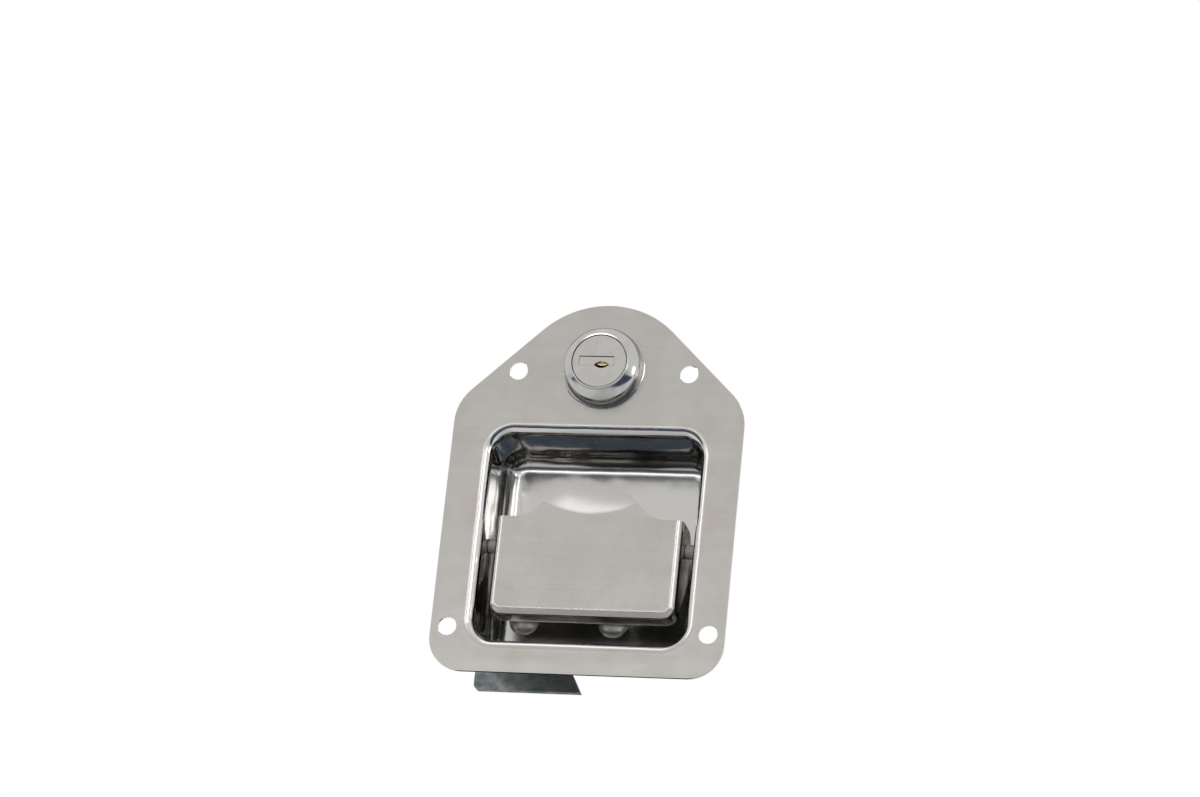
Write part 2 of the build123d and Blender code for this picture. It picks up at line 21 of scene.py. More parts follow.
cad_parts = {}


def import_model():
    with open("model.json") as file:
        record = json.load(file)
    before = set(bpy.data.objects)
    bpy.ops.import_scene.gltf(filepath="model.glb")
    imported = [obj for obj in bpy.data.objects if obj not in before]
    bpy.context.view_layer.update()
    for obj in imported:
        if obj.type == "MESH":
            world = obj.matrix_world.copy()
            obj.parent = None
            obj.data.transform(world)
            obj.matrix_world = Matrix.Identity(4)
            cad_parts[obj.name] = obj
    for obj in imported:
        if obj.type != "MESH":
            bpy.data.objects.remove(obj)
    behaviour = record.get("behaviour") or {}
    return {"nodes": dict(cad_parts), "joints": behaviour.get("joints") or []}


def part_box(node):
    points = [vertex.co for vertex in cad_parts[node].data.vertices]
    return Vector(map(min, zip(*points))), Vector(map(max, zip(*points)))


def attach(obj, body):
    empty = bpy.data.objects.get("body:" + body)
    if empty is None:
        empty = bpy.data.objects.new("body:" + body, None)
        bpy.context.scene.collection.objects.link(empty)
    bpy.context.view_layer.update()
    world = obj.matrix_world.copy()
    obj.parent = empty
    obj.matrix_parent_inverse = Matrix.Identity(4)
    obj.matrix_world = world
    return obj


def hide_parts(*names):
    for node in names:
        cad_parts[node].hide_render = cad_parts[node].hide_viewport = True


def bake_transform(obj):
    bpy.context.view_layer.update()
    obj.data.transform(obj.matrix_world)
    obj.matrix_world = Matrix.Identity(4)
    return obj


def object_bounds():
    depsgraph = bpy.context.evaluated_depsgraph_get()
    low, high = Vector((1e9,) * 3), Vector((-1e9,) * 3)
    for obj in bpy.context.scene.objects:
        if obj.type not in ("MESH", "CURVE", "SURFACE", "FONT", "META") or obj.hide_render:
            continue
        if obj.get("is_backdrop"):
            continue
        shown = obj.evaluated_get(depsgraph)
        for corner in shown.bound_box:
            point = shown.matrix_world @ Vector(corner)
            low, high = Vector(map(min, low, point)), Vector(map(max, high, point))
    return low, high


LOG = logging.getLogger("latch")
MM = 0.001
Colour = tuple[float, float, float]
Triple = tuple[float, float, float]
WHITE = (1.0, 1.0, 1.0, 1.0)
OPENING: Triple = (40.2 * MM, 40.5 * MM, 8.5 * MM)
"""Half width, half height and corner radius of the pan's opening."""
SQUARE = ((-1.0, -1.0, 0.0), (1.0, -1.0, 0.0), (1.0, 1.0, 0.0), (-1.0, 1.0, 0.0))
"""Corners of a flat card, in halves of its size."""


class Slot(Enum):
    """The record's material slots."""

    STAINLESS = "stainless"
    CHROME = "chrome"
    PLUG = "plug"
    ZINC = "zinc"
    SPRING = "spring"
    BRASS = "brass"
    NYLON = "nylon"


class Body(Enum):
    """The rigid bodies that pieces ride on."""

    FRAME = "frame"
    PADDLE = "paddle"
    CATCH = "catch"
    PLUG = "plug"
    SHUTTER = "shutter"


# ---- materials -----------------------------------------------------------------------------------------------


def bare_material(name: str) -> tuple[bpy.types.Material, bpy.types.NodeTree, bpy.types.NodeSocket]:
    """Makes a material that holds nothing but its output.

    Args:
        name: the material's name.

    Returns:
        The material, its node tree, and the output's surface socket.
    """
    material = bpy.data.materials.new(name)
    material.use_nodes = True
    tree = material.node_tree
    tree.nodes.clear()
    return material, tree, tree.nodes.new("ShaderNodeOutputMaterial").inputs["Surface"]


class Graph:
    """A small builder for one material's shader nodes."""

    def __init__(self, name: str) -> None:
        """Makes a material that holds a Principled shader and its output.

        Args:
            name: the material's name.
        """
        self.material, self.tree, surface = bare_material(name)
        self.shader = self.tree.nodes.new("ShaderNodeBsdfPrincipled")
        self.tree.links.new(self.shader.outputs["BSDF"], surface)
        self.place = self.tree.nodes.new("ShaderNodeTexCoord").outputs["Object"]

    def put(self, node: bpy.types.Node, socket: str | int, value: object) -> None:
        """Sets a node's input to a value, or links it when the value is another node's output.

        Args:
            node: the node.
            socket: the input's name or number.
            value: a number, a colour or an output socket.
        """
        if isinstance(value, bpy.types.NodeSocket):
            self.tree.links.new(value, node.inputs[socket])
        else:
            node.inputs[socket].default_value = value

    def stretched(self, x: float, y: float, z: float) -> bpy.types.NodeSocket:
        """Object coordinates with their own scale along each axis.

        Args:
            x: scale along X.
            y: scale along Y.
            z: scale along Z.

        Returns:
            The scaled coordinates.
        """
        node = self.tree.nodes.new("ShaderNodeMapping")
        self.put(node, "Vector", self.place)
        node.inputs["Scale"].default_value = (x, y, z)
        return node.outputs["Vector"]

    def noise(self, where: bpy.types.NodeSocket, scale: float, detail: float = 3.0) -> bpy.types.NodeSocket:
        """Fractal noise between 0 and 1.

        Args:
            where: coordinates.
            scale: noise cells per metre.
            detail: number of octaves.

        Returns:
            The noise's value.
        """
        node = self.tree.nodes.new("ShaderNodeTexNoise")
        self.put(node, "Vector", where)
        node.inputs["Scale"].default_value = scale
        node.inputs["Detail"].default_value = detail
        return node.outputs["Fac"]

    def cells(self, where: bpy.types.NodeSocket, scale: float) -> bpy.types.NodeSocket:
        """Grey value of Voronoi cells, as zinc crystals have.

        Args:
            where: coordinates.
            scale: cells per metre.

        Returns:
            One value for each cell.
        """
        node = self.tree.nodes.new("ShaderNodeTexVoronoi")
        self.put(node, "Vector", where)
        node.inputs["Scale"].default_value = scale
        split = self.tree.nodes.new("ShaderNodeSeparateColor")
        self.put(split, 0, node.outputs["Color"])
        return split.outputs["Red"]

    def depth(self) -> bpy.types.NodeSocket:
        """The object coordinate that runs from the front to the back."""
        node = self.tree.nodes.new("ShaderNodeSeparateXYZ")
        self.put(node, 0, self.place)
        return node.outputs["Y"]

    def span(
        self, value: bpy.types.NodeSocket, low: float, high: float, start: float = 0.0, end: float = 1.0
    ) -> bpy.types.NodeSocket:
        """Smooth step of a value from start to end while it goes from low to high.

        Args:
            value: the value.
            low: where the step starts.
            high: where it ends.
            start: result below low.
            end: result above high.

        Returns:
            The stepped value.
        """
        node = self.tree.nodes.new("ShaderNodeMapRange")
        node.interpolation_type = "SMOOTHSTEP"
        self.put(node, "Value", value)
        for socket, number in (("From Min", low), ("From Max", high), ("To Min", start), ("To Max", end)):
            node.inputs[socket].default_value = number
        return node.outputs["Result"]

    def blend(self, factor: bpy.types.NodeSocket, first: object, second: object) -> bpy.types.NodeSocket:
        """Mix of two colours.

        Args:
            factor: 0 gives the first colour and 1 the second.
            first: a colour or an output.
            second: a colour or an output.

        Returns:
            The mixed colour.
        """
        node = self.tree.nodes.new("ShaderNodeMix")
        node.data_type = "RGBA"
        self.put(node, 0, factor)
        for socket, colour in ((6, first), (7, second)):
            self.put(node, socket, (*colour, 1.0) if isinstance(colour, tuple) else colour)
        return node.outputs[2]

    def between(self, factor: bpy.types.NodeSocket, first: object, second: object) -> bpy.types.NodeSocket:
        """Mix of two numbers.

        Args:
            factor: 0 gives the first number and 1 the second.
            first: a number or an output.
            second: a number or an output.

        Returns:
            The mixed number.
        """
        node = self.tree.nodes.new("ShaderNodeMix")
        for socket, value in ((0, factor), (2, first), (3, second)):
            self.put(node, socket, value)
        return node.outputs[0]

    def work_out(self, operation: str, first: object, second: object = 0.0) -> bpy.types.NodeSocket:
        """Result of one sum on two values.

        Args:
            operation: name of the sum, as Blender gives it.
            first: a number or an output.
            second: a number or an output.

        Returns:
            The result.
        """
        node = self.tree.nodes.new("ShaderNodeMath")
        node.operation = operation
        self.put(node, 0, first)
        self.put(node, 1, second)
        return node.outputs[0]

    def sum(self, *terms: bpy.types.NodeSocket) -> bpy.types.NodeSocket:
        """Sum of several values."""
        total = terms[0]
        for term in terms[1:]:
            total = self.work_out("ADD", total, term)
        return total

    def rim_distance(self, half_x: float, half_z: float, radius: float) -> bpy.types.NodeSocket:
        """Distance outwards from a rounded rectangle round the origin.

        What is left of |x| and |z| beyond the corner circles' centres is a vector, and the distance is that
        vector's length less the corners' radius.

        Args:
            half_x: half the rectangle's width.
            half_z: half its height.
            radius: radius of its corners.

        Returns:
            The distance, in metres.
        """
        split = self.tree.nodes.new("ShaderNodeSeparateXYZ")
        self.put(split, 0, self.place)
        join = self.tree.nodes.new("ShaderNodeCombineXYZ")
        for axis, half in (("X", half_x), ("Z", half_z)):
            beyond = self.work_out("SUBTRACT", self.work_out("ABSOLUTE", split.outputs[axis]), half - radius)
            self.put(join, axis, self.work_out("MAXIMUM", beyond, 0.0))
        length = self.tree.nodes.new("ShaderNodeVectorMath")
        length.operation = "LENGTH"
        self.put(length, 0, join.outputs[0])
        return self.work_out("SUBTRACT", length.outputs["Value"], radius)

    def bump(self, height: bpy.types.NodeSocket, distance: float, strength: float = 1.0) -> None:
        """Gives the shader a fine relief.

        Args:
            height: relief between 0 and 1.
            distance: height of the relief, in metres.
            strength: share of the relief that shows.
        """
        node = self.tree.nodes.new("ShaderNodeBump")
        node.inputs["Strength"].default_value = strength
        node.inputs["Distance"].default_value = distance
        self.put(node, "Height", height)
        self.put(self.shader, "Normal", node.outputs["Normal"])

    def set(self, **sockets: object) -> None:
        """Sets the shader's own sockets; an underscore in a name stands for a space."""
        for name, value in sockets.items():
            self.put(self.shader, name.replace("_", " "), value)


@dataclass(frozen=True)
class SheetSteel:
    """Pressed stainless sheet: satin on its face, drawn to a mirror where it bends back.

    Patterns are in cells per metre. Reliefs are heights in millimetres.
    """

    name: str
    bright: Colour = (0.42, 0.408, 0.385)
    tinted: Colour = (0.395, 0.376, 0.35)
    streak: Colour = (0.48, 0.468, 0.445)
    # Colour of the painted warm reflection in and round the pan, not a tint of the steel.
    painted_warm_reflection: Colour = (0.40, 0.345, 0.29)
    polished: Colour = (0.60, 0.59, 0.575)
    face: float = -0.00115
    polish: float = -0.0005
    satin: float = 0.29
    mirror: float = 0.07
    grain: Triple = (14.0, 60.0, 900.0)
    wave: float = 28.0
    cloud: float = 65.0
    smear: float = 240.0
    press: float = 52.0
    wave_relief: float = 0.025
    grain_relief: float = 0.0005
    press_relief: float = 0.16
    draw_relief: float = 0.09
    pressed_to: tuple[float, float] = (0.0010, 0.0150)
    drawn: tuple[float, float] = (0.0042, 0.0085)
    # How strongly the painted warm reflection shows.
    painted_reflection_share: float = 0.45
    opening: Triple | None = None
    floor: tuple[float, float] | None = None

    def build(self) -> bpy.types.Material:
        """Makes the material.

        Returns:
            A metal whose roughness falls behind the face, and rises again at a floor if one is given, with rolling
            grain and slow waves from the press. Round an opening, the sheet is drawn in by a soft step and its
            waves are stronger, and in and round the pan a warm painted reflection lies in patches.
        """
        graph = Graph(self.name)
        streaks = graph.noise(graph.stretched(*self.grain), 1.0, 4.0)
        waves = graph.noise(graph.place, self.wave, 2.0)
        cloud = graph.noise(graph.place, self.cloud, 3.0)
        smears = graph.noise(graph.place, self.smear, 4.0)
        back = graph.span(graph.depth(), self.face, self.polish)
        if self.floor is not None:
            back = graph.work_out("MINIMUM", back, graph.span(graph.depth(), *self.floor, 1.0, 0.5))
        base = graph.blend(graph.span(cloud, 0.35, 0.7), self.bright, self.tinted)
        base = graph.blend(graph.span(streaks, 0.3, 0.75, 0.0, 0.25), base, self.streak)
        reliefs = [graph.span(waves, 0.3, 0.7, 0.0, self.wave_relief)]
        reliefs.append(graph.span(streaks, 0.2, 0.8, 0.0, self.grain_relief))
        if self.opening is not None:
            away = graph.rim_distance(*self.opening)
            near = graph.span(away, *self.pressed_to, 1.0, 0.0)
            press = graph.span(graph.noise(graph.place, self.press, 2.0), 0.3, 0.7, 0.0, self.press_relief)
            reliefs.append(graph.work_out("MULTIPLY", near, press))
            reliefs.append(graph.span(away, *self.drawn, 0.0, self.draw_relief))
            # Painted reflection: warm patches inside the pan and near its opening stand for a warm reflection, not a
            # tint of the steel.
            painted_reflection_mask = graph.work_out("MULTIPLY", near, graph.span(cloud, 0.5, 0.68))
            base = graph.blend(graph.work_out("MULTIPLY", painted_reflection_mask, self.painted_reflection_share), base, self.painted_warm_reflection)
        graph.set(Metallic=1.0, Base_Color=graph.blend(back, base, self.polished))
        satin = graph.span(smears, 0.2, 0.8, self.satin - 0.02, self.satin + 0.03)
        mirror = graph.span(smears, 0.2, 0.8, self.mirror, self.mirror + 0.04)
        graph.set(Roughness=graph.between(back, satin, mirror))
        graph.bump(graph.sum(*reliefs), MM)
        return graph.material


@dataclass(frozen=True)
class Plating:
    """Bright plating with a few wiping scratches."""

    name: str
    colour: Colour = (0.66, 0.65, 0.63)
    rough: float = 0.06
    scratch: float = 0.10
    wiping: Triple = (1600.0, 300.0, 90.0)
    deep_colour: Colour | None = None
    deep_from: float = 0.0

    def build(self) -> bpy.types.Material:
        """Makes the material.

        Returns:
            A plated metal, in another colour below a depth if one is given.
        """
        graph = Graph(self.name)
        scratches = graph.noise(graph.stretched(*self.wiping), 1.0, 5.0)
        haze = graph.noise(graph.place, 260.0, 3.0)
        base = graph.blend(graph.span(haze, 0.3, 0.75), self.colour, tuple(0.90 * c for c in self.colour))
        if self.deep_colour is not None:
            inside = graph.span(graph.depth(), self.deep_from, self.deep_from + 0.0003)
            base = graph.blend(inside, base, self.deep_colour)
        graph.set(Metallic=1.0, Base_Color=base)
        graph.set(Roughness=graph.span(graph.sum(scratches, haze), 0.8, 1.4, self.rough, self.rough + self.scratch))
        graph.bump(scratches, 0.00001, 0.5)
        return graph.material


@dataclass(frozen=True)
class Galvanised:
    """Zinc-coated mild steel: mottled blue-grey crystals with dark specks."""

    name: str
    light: Colour = (0.255, 0.285, 0.28)
    dark: Colour = (0.15, 0.18, 0.185)
    speck: Colour = (0.09, 0.105, 0.105)
    crystal: float = 420.0
    coating: float = 0.75

    def build(self) -> bpy.types.Material:
        """Makes the material.

        Returns:
            A dull mottled metal.
        """
        graph = Graph(self.name)
        crystals = graph.cells(graph.place, self.crystal)
        stain = graph.noise(graph.place, 190.0, 5.0)
        grit = graph.noise(graph.place, 2600.0, 3.0)
        mottle = graph.span(graph.sum(graph.work_out("MULTIPLY", crystals, 0.5), stain, stain), 0.6, 1.8)
        base = graph.blend(mottle, self.dark, self.light)
        base = graph.blend(graph.span(grit, 0.62, 0.8), base, self.speck)
        graph.set(Metallic=self.coating, Base_Color=base, Roughness=graph.span(mottle, 0.0, 1.0, 0.62, 0.40))
        graph.bump(graph.sum(grit, stain), 0.00006, 0.6)
        return graph.material


@dataclass(frozen=True)
class Wire:
    """Drawn spring wire, dark and slightly oily."""

    name: str
    colour: Colour = (0.30, 0.29, 0.28)

    def build(self) -> bpy.types.Material:
        """Makes the material.

        Returns:
            A dark metal with fine drawing lines.
        """
        graph = Graph(self.name)
        lines = graph.noise(graph.place, 3200.0, 2.0)
        oil = graph.noise(graph.place, 420.0, 3.0)
        base = graph.blend(graph.span(oil, 0.3, 0.7), self.colour, tuple(0.6 * c for c in self.colour))
        graph.set(Metallic=1.0, Base_Color=base, Roughness=graph.span(oil, 0.3, 0.7, 0.22, 0.38))
        graph.bump(lines, 0.00001, 0.5)
        return graph.material


@dataclass(frozen=True)
class Moulding:
    """Natural moulded nylon, a little grey."""

    name: str
    colour: Colour = (0.34, 0.34, 0.325)
    shade: Colour = (0.26, 0.26, 0.25)

    def build(self) -> bpy.types.Material:
        """Makes the material.

        Returns:
            A pale plastic with a faint spark-eroded grain.
        """
        graph = Graph(self.name)
        grain = graph.noise(graph.place, 3000.0, 3.0)
        tone = graph.noise(graph.place, 300.0, 2.0)
        graph.set(Base_Color=graph.blend(graph.span(tone, 0.3, 0.7), self.colour, self.shade))
        graph.set(Roughness=graph.span(grain, 0.3, 0.7, 0.42, 0.56))
        graph.bump(grain, 0.00003, 0.6)
        return graph.material


# ---- meshes --------------------------------------------------------------------------------------------------


def stand_up(name: str, data: bpy.types.ID) -> bpy.types.Object:
    """Makes an object for a mesh, a lamp or a camera, and puts it in the scene.

    Args:
        name: the object's name.
        data: what it shows.

    Returns:
        The new object, at the origin.
    """
    thing = bpy.data.objects.new(name, data)
    bpy.context.scene.collection.objects.link(thing)
    return thing


def read_rows(rows: bpy.types.bpy_prop_collection, name: str, whole: bool = False) -> np.ndarray:
    """Reads one property of every vertex, corner or face at once.

    Args:
        rows: the mesh's vertices, corners or faces.
        name: the property.
        whole: whether it is one whole number, and not three lengths.

    Returns:
        Whole numbers in an array of shape (n,), or lengths in one of shape (n, 3).
    """
    width, kind = (1, np.int32) if whole else (3, np.float32)
    values = np.empty(len(rows) * width, dtype=kind)
    rows.foreach_get(name, values)
    return values if whole else values.reshape(-1, 3)


def dress(piece: bpy.types.Object, finish: bpy.types.Material) -> None:
    """Gives a piece one material in place of those it has.

    Args:
        piece: the object.
        finish: the material.
    """
    piece.data.materials.clear()
    piece.data.materials.append(finish)


def settle(
    piece: bpy.types.Object, finish: bpy.types.Material, body: Body, nodes: tuple[str, ...] = ()
) -> None:
    """Args:
        piece: the object.
        finish: its material.
        body: the body that it moves with.
        nodes: the CAD nodes that it stands for.
    """
    dress(piece, finish)
    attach(piece, body.value)
    if nodes:
        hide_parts(*nodes)
    LOG.info("piece %s on %s, %d faces", piece.name, body.value, len(piece.data.polygons))


def wind(
    piece: bpy.types.Object,
    finish: bpy.types.Material,
    node: str,
    body: Body,
) -> None:
    """Dresses a spring, sets its place into its mesh and hides the solid that it stands for.

    Args:
        piece: the spring.
        finish: its material.
        node: the CAD node that it stands for.
        body: the body at the spring's far end, which is only named in the log.
    """
    dress(piece, finish)
    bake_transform(piece)
    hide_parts(node)
    LOG.info("piece %s between frame and %s, %d faces", piece.name, body.value, len(piece.data.polygons))


def grid_mesh(name: str, points: np.ndarray, wrap_u: bool, wrap_v: bool) -> bpy.types.Object:
    """Turns a grid of points into a smooth quad surface.

    Args:
        name: the object's name.
        points: array of shape (u, v, 3), in metres.
        wrap_u: whether the last row joins the first.
        wrap_v: whether the last column joins the first.

    Returns:
        The new object.
    """
    rows, cols = points.shape[:2]
    u = np.arange(rows if wrap_u else rows - 1)
    v = np.arange(cols if wrap_v else cols - 1)
    i, j = np.meshgrid(u, v, indexing="ij")
    after_i, after_j = (i + 1) % rows, (j + 1) % cols
    quads = np.stack(
        [i * cols + j, after_i * cols + j, after_i * cols + after_j, i * cols + after_j], axis=-1
    ).reshape(-1, 4)
    mesh = bpy.data.meshes.new(name)
    mesh.vertices.add(rows * cols)
    mesh.vertices.foreach_set("co", points.reshape(-1).astype(np.float32))
    mesh.loops.add(quads.size)
    mesh.loops.foreach_set("vertex_index", quads.reshape(-1).astype(np.int32))
    mesh.polygons.add(len(quads))
    mesh.polygons.foreach_set("loop_start", np.arange(0, quads.size, 4, dtype=np.int32))
    mesh.update(calc_edges=True)
    mesh.validate()
    return stand_up(name, mesh)


def tidy(piece: bpy.types.Object, crease: float = 35.0, gap: float = 1e-6) -> None:
    """Merges a mesh's doubles, turns its faces outwards and smooths it up to a crease angle.

    Args:
        piece: the object.
        crease: angle from which an edge stays sharp, in degrees.
        gap: distance under which points merge.
    """
    work = bmesh.new()
    work.from_mesh(piece.data)
    bmesh.ops.remove_doubles(work, verts=work.verts, dist=gap)
    holes = [e for e in work.edges if len(e.link_faces) == 1]
    if holes:
        bmesh.ops.holes_fill(work, edges=holes, sides=0)
    bmesh.ops.recalc_face_normals(work, faces=work.faces)
    for face in work.faces:
        face.smooth = True
    limit = math.radians(crease)
    for edge in work.edges:
        edge.smooth = len(edge.link_faces) == 2 and edge.calc_face_angle(0.0) < limit
    work.to_mesh(piece.data)
    work.free()
    weighted = piece.modifiers.new("even_shading", "WEIGHTED_NORMAL")
    weighted.keep_sharp = True
    weighted.weight = 60


def smooth_copy(node: bpy.types.Object, name: str, crease: float = 35.0) -> bpy.types.Object:
    """Merged copy of a solid, whose rounded parts are shaded smoothly.

    Args:
        node: the solid's object.
        name: name of the copy.
        crease: angle from which an edge stays sharp, in degrees.

    Returns:
        The new object.
    """
    piece = stand_up(name, node.data.copy())
    tidy(piece, crease)
    return piece


def tube(name: str, path: np.ndarray, radius: float, sides: int = 12, tip: float = 1e-3) -> bpy.types.Object:
    """Round wire along a path.

    At each point, a circle stands across the path. Its first direction is carried from point to point without
    twist, by taking off the part along the path. A tiny ring at each end leaves a hole that tidy fills.

    Args:
        name: the object's name.
        path: array of shape (n, 3), in metres.
        radius: the wire's radius.
        sides: points round the wire.
        tip: radius of the rings at the ends, as a share of the wire's.

    Returns:
        The new object.
    """
    askew = (0.31, 0.52, 0.79)
    ahead = np.gradient(path, axis=0)
    ahead /= np.linalg.norm(ahead, axis=1, keepdims=True)
    side = np.empty_like(path)
    first = np.cross(ahead[0], askew)
    side[0] = first / np.linalg.norm(first)
    for k in range(1, len(path)):
        carried = side[k - 1] - ahead[k] * (side[k - 1] @ ahead[k])
        side[k] = carried / np.linalg.norm(carried)
    other = np.cross(ahead, side)
    turn = np.linspace(0.0, 2 * np.pi, sides, endpoint=False)
    ring = side[:, None] * np.cos(turn)[None, :, None] + other[:, None] * np.sin(turn)[None, :, None]
    body = path[:, None] + radius * ring
    rings = [path[:1, None] + tip * radius * ring[:1], body, path[-1:, None] + tip * radius * ring[-1:]]
    piece = grid_mesh(name, np.concatenate(rings), False, True)
    tidy(piece, 50.0)
    return piece


def rounded_path(corners: np.ndarray, radius: float, steps: int = 8) -> np.ndarray:
    """Path through corners that cuts each corner with a quadratic curve.

    Args:
        corners: array of shape (n, 3).
        radius: how far before and after a corner its curve starts and ends.
        steps: points on each curve.

    Returns:
        Points of the path.
    """
    rows = [corners[:1]]
    t = np.linspace(0.0, 1.0, steps)[:, None]
    for before, at, after in zip(corners[:-2], corners[1:-1], corners[2:]):
        back, on = before - at, after - at
        start = at + back * min(0.5, radius / np.linalg.norm(back))
        end = at + on * min(0.5, radius / np.linalg.norm(on))
        rows.append((1 - t) ** 2 * start + 2 * t * (1 - t) * at + t**2 * end)
    rows.append(corners[-1:])
    return np.concatenate(rows)


def rounded_outline(
    half_x: float, half_z: float, radius: float, side: int, bend: int
) -> tuple[np.ndarray, np.ndarray]:
    """Rounded rectangle as cores and ways out.

    A point of the outline is its core plus the radius times its way out. Round a corner the core stays at the
    corner circle's centre while the way turns; along a side the core moves and the way stays.

    Args:
        half_x: half the width.
        half_z: half the height.
        radius: radius of the corners.
        side: points inside each side.
        bend: points round each corner.

    Returns:
        The cores and the ways, each of shape (n, 2).
    """
    middles = np.array([(1, 1), (-1, 1), (-1, -1), (1, -1)]) * (half_x - radius, half_z - radius)
    quarter = np.linspace(0.0, np.pi / 2, bend)
    share = np.linspace(0.0, 1.0, side + 2)[1:-1, None]
    cores, ways = [], []
    for k, (middle, after) in enumerate(zip(middles, np.roll(middles, -1, axis=0))):
        turn = quarter + k * np.pi / 2
        way = np.stack([np.cos(turn), np.sin(turn)], axis=-1)
        cores += [np.repeat(middle[None], bend, axis=0), middle + share * (after - middle)]
        ways += [way, np.repeat(way[-1:], side, axis=0)]
    return np.concatenate(cores), np.concatenate(ways)


# ---- sub-assemblies ------------------------------------------------------------------------------------------


@dataclass
class Finishes:
    """Every material of the latch, made once."""

    sheet: bpy.types.Material = field(
        default_factory=SheetSteel("pressed_sheet", opening=OPENING, floor=(0.0215, 0.0262)).build
    )
    paddle: bpy.types.Material = field(
        default_factory=SheetSteel(
            "pressed_paddle", polished=(0.46, 0.45, 0.435), face=0.00084, polish=0.0014, satin=0.27, mirror=0.15
        ).build
    )
    rivet: bpy.types.Material = field(
        default_factory=Plating("rivet_steel", colour=(0.36, 0.355, 0.35), rough=0.32, scratch=0.12).build
    )
    dome: bpy.types.Material = field(
        default_factory=Plating("bright_dome", colour=(0.50, 0.495, 0.485), rough=0.10, scratch=0.08).build
    )
    plug: bpy.types.Material = field(
        default_factory=Plating(
            "plug_face", (0.46, 0.45, 0.425), 0.26, 0.12, deep_colour=(0.52, 0.36, 0.13), deep_from=-0.0092
        ).build
    )
    zinc: bpy.types.Material = field(default_factory=Galvanised("galvanised").build)
    wire: bpy.types.Material = field(default_factory=Wire("spring_wire").build)
    brass: bpy.types.Material = field(default_factory=Plating("brass", (0.50, 0.385, 0.20), 0.22, 0.1).build)
    nylon: bpy.types.Material = field(default_factory=Moulding("nylon").build)


@dataclass
class Frame:
    """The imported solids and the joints' places."""

    nodes: dict[str, bpy.types.Object]
    joints: dict[str, dict]

    def pivot(self, joint: str) -> np.ndarray:
        """Place of a hinge.

        Args:
            joint: the joint's name.

        Returns:
            A point on its axis.
        """
        return np.array(self.joints[joint]["pos_m"], dtype=float)

    def low(self, node: str) -> np.ndarray:
        """Lowest corner of a solid's box."""
        return np.array(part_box(node)[0])

    def high(self, node: str) -> np.ndarray:
        """Highest corner of a solid's box."""
        return np.array(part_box(node)[1])

    def stand_in(
        self, node: str, name: str, body: Body, slot: Slot, finish: bpy.types.Material, crease: float = 35.0
    ) -> bpy.types.Object:
        """Smoothly shaded copy of a solid, dressed and in its place.

        Args:
            node: the solid.
            name: the new piece's name.
            body: the body that it moves with.
            slot: the record's material slot; not used.
            finish: its material.
            crease: angle from which an edge stays sharp, in degrees.

        Returns:
            The new piece.
        """
        piece = smooth_copy(self.nodes[node], name, crease)
        settle(piece, finish, body, (node,))
        return piece


